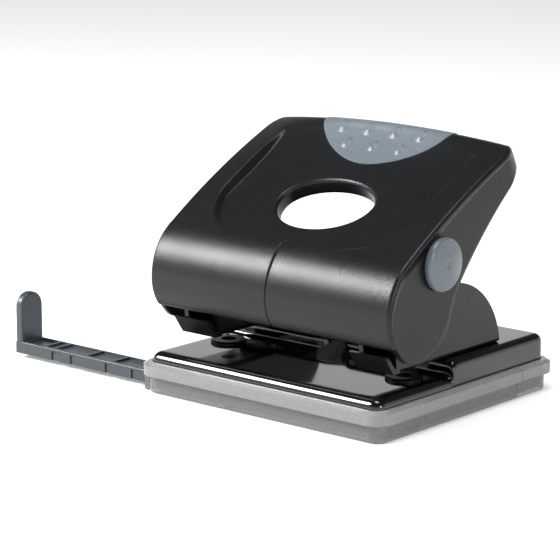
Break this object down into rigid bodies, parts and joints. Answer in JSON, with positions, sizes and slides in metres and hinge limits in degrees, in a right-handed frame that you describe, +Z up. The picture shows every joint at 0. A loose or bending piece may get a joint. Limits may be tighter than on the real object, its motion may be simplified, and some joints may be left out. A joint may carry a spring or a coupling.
{
  "type": "two-hole desk paper punch",
  "caption": "Manual desk paper punch: a long dished lever over two sprung pins on a pressed plate, with a chip tray hinged below and a sliding paper guide.",
  "frame": {"origin": "on the desk, midway between the two punched holes", "axes": "+X right along the row of holes, +Y to the rear, away from the side where paper goes in, +Z up"},
  "size_m": [0.1824, 0.1023, 0.094],
  "materials": {
    "black_gloss_plate": "gloss",
    "black_bracket": "satin",
    "zinc_steel": "satin",
    "hard_steel": "ground",
    "spring_steel": "bright",
    "cover_black": "fine grain",
    "pad_grey": "soft",
    "cap_grey": "satin",
    "tray_smoke": "translucent",
    "guide_slate": "satin"
  },
  "bodies": {
    "base": {"base_plate": "black_gloss_plate", "bracket_left": "black_bracket", "bracket_right": "black_bracket", "bracket_rivets": "zinc_steel", "die_left": "hard_steel", "die_right": "hard_steel", "pivot_axle": "zinc_steel", "axle_clip_left": "zinc_steel", "axle_clip_right": "zinc_steel", "tray_rear_clip": "tray_smoke", "spring_seats": "zinc_steel", "return_spring_left": "spring_steel", "return_spring_right": "spring_steel"},
    "lever": {"lever_cover": "cover_black", "lever_frame": "zinc_steel", "grip_pad": "pad_grey", "presser_bar": "zinc_steel", "cap_left": "cap_grey", "cap_right": "cap_grey", "cover_screws": "zinc_steel"},
    "pin_left": {"punch_pin_left": "hard_steel", "pin_head_left": "zinc_steel"},
    "pin_right": {"punch_pin_right": "hard_steel", "pin_head_right": "zinc_steel"},
    "tray": {"chip_tray": "tray_smoke"},
    "paper_guide": {"paper_guide": "guide_slate"}
  },
  "joints": [
    {"name": "lever_press", "type": "hinge", "parent": "base", "child": "lever", "pos_m": [0, -0.009, 0.041], "axis": [-1, 0, 0], "range_deg": [0, 28], "stiffness_Nm_per_rad": 0.6, "springref_deg": -20.05},
    {"name": "pin_left_slide", "type": "slide", "parent": "base", "child": "pin_left", "axis": [0, 0, -1], "range_m": [0, 0.00665], "deforming": ["return_spring_left"]},
    {"name": "pin_right_slide", "type": "slide", "parent": "base", "child": "pin_right", "axis": [0, 0, -1], "range_m": [0, 0.00665], "deforming": ["return_spring_right"]},
    {"name": "tray_open", "type": "hinge", "parent": "base", "child": "tray", "pos_m": [0, 0.048, 0], "axis": [1, 0, 0], "range_deg": [0, 60]},
    {"name": "guide_slide", "type": "slide", "parent": "tray", "child": "paper_guide", "axis": [1, 0, 0], "range_m": [-0.0275, 0.0635]}
  ],
  "couplings": [
    {"joint": "pin_left_slide", "follows": "lever_press", "m_per_rad": 0.013588},
    {"joint": "pin_right_slide", "follows": "lever_press", "m_per_rad": 0.013588}
  ]
}
